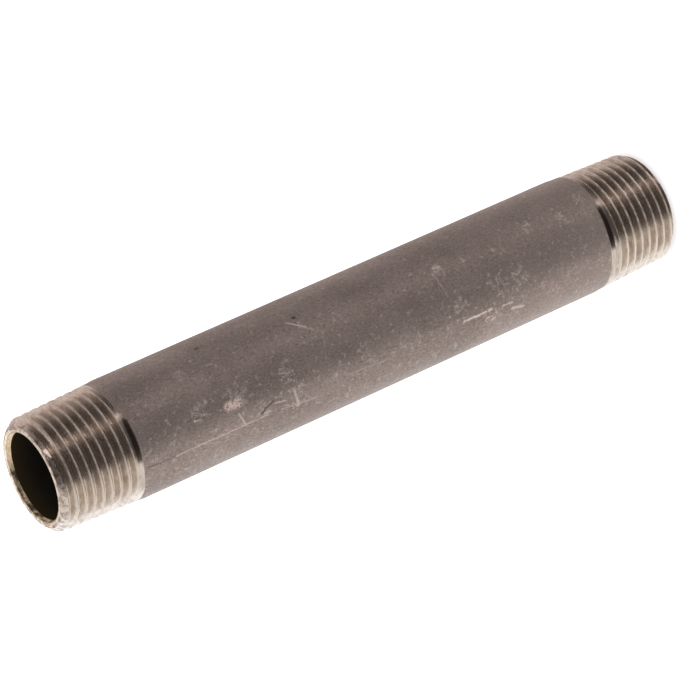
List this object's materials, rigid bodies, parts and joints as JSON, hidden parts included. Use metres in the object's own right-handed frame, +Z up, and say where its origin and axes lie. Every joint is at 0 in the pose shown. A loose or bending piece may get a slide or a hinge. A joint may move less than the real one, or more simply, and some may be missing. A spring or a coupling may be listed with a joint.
{
  "type": "double nipple",
  "caption": "Straight steel pipe nipple with an open bore and a right-hand taper pipe thread on each end, for joining two female pipe fittings.",
  "frame": {"origin": "centre of the lower end face, which the nipple stands on", "axes": "+Z up along the pipe's axis, from the lower threaded end to the upper one"},
  "size_m": [0.0172, 0.0172, 0.103],
  "materials": {
    "steel": "matt pickled grey pipe wall with bright cut threads"
  },
  "bodies": {
    "root": {"nipple": "steel"}
  },
  "joints": []
}
